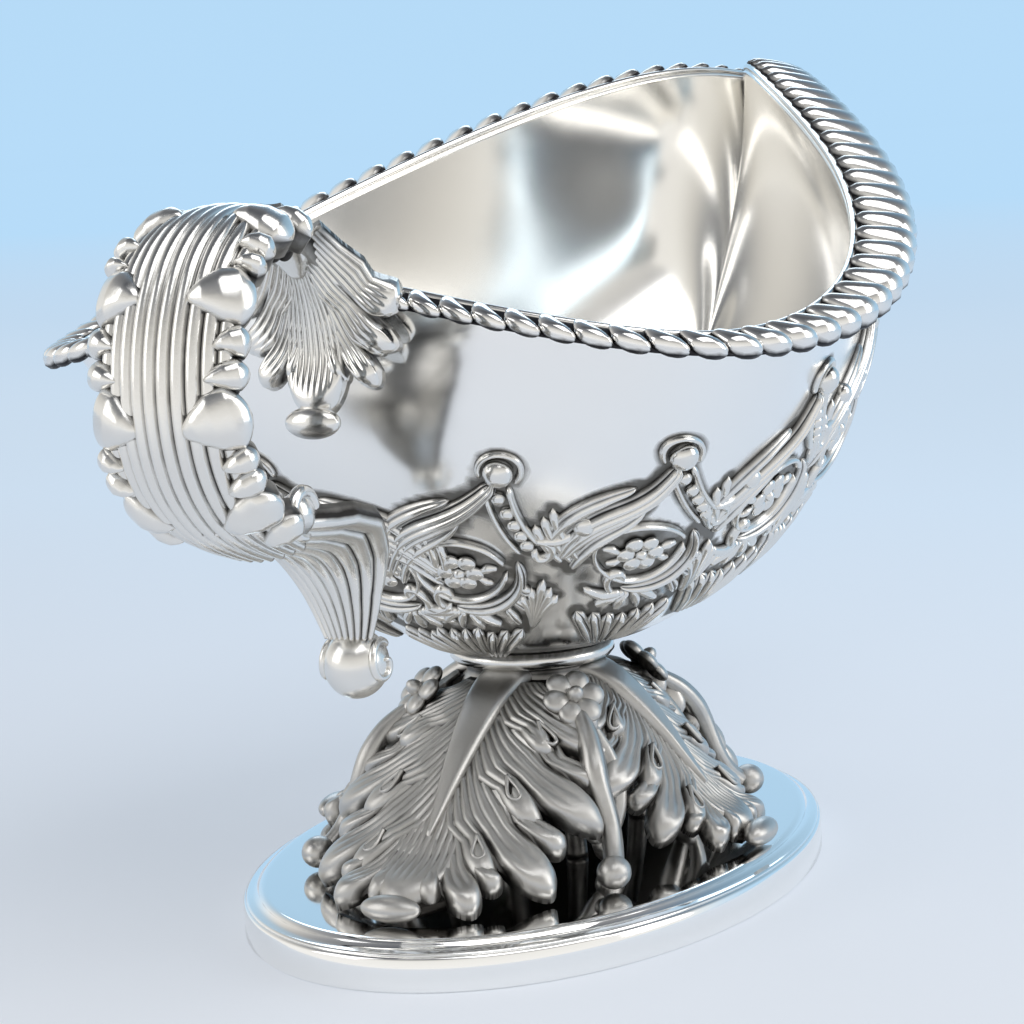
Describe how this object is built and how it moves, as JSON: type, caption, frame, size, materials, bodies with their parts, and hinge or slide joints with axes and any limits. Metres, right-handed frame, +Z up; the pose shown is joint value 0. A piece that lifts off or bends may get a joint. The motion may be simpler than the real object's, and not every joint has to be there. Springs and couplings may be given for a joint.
{
  "type": "sauce boat",
  "caption": "Oval silver sauce boat with gadrooned rim, pinched spout, leaf-edged strap handle, scroll relief and acanthus-leaf pedestal on an oval plinth.",
  "frame": {"origin": "centre of the oval plinth's underside, where it stands on the table", "axes": "+X from handle to spout, +Y to the left seen from the handle, +Z up"},
  "size_m": [0.2447, 0.1328, 0.1349],
  "materials": {
    "bowl_silver": "polished, fine hand-polish swirls",
    "base_silver": "polished, light handling scratches",
    "foot_silver": "satin cast silver, dark oxidised recesses",
    "handle_silver": "cast silver, bright ridges and dark oxidised recesses",
    "border_silver": "polished cast border, dark lines between lobes",
    "relief_silver": "chased relief, dark oxidised ground"
  },
  "bodies": {
    "root": {"base_band": "base_silver", "base_plate": "base_silver", "bowl_shell": "bowl_silver", "collar_ring": "foot_silver", "foot_leaf_back": "foot_silver", "foot_leaf_front": "foot_silver", "foot_leaf_left": "foot_silver", "foot_leaf_right": "foot_silver", "foot_neck": "foot_silver", "foot_rosette_back_left": "foot_silver", "foot_rosette_back_right": "foot_silver", "foot_rosette_front_left": "foot_silver", "foot_rosette_front_right": "foot_silver", "foot_strut_back_left": "foot_silver", "foot_strut_back_right": "foot_silver", "foot_strut_front_left": "foot_silver", "foot_strut_front_right": "foot_silver", "foot_tendril_back_left": "foot_silver", "foot_tendril_back_right": "foot_silver", "foot_tendril_front_left": "foot_silver", "foot_tendril_front_right": "foot_silver", "handle_ball": "handle_silver", "handle_eye_left": "handle_silver", "handle_eye_right": "handle_silver", "handle_leaves_left": "handle_silver", "handle_leaves_right": "handle_silver", "handle_mount_leaf": "handle_silver", "handle_scroll": "handle_silver", "handle_strap": "handle_silver", "rim_gadroon_left": "border_silver", "rim_gadroon_right": "border_silver", "rim_wire_left": "border_silver", "rim_wire_right": "border_silver", "scroll_panel_left_1": "relief_silver", "scroll_panel_left_2": "relief_silver", "scroll_panel_left_3": "relief_silver", "scroll_panel_left_4": "relief_silver", "scroll_panel_left_5": "relief_silver", "scroll_panel_right_1": "relief_silver", "scroll_panel_right_2": "relief_silver", "scroll_panel_right_3": "relief_silver", "scroll_panel_right_4": "relief_silver", "scroll_panel_right_5": "relief_silver", "spout_tip": "border_silver"}
  },
  "joints": []
}
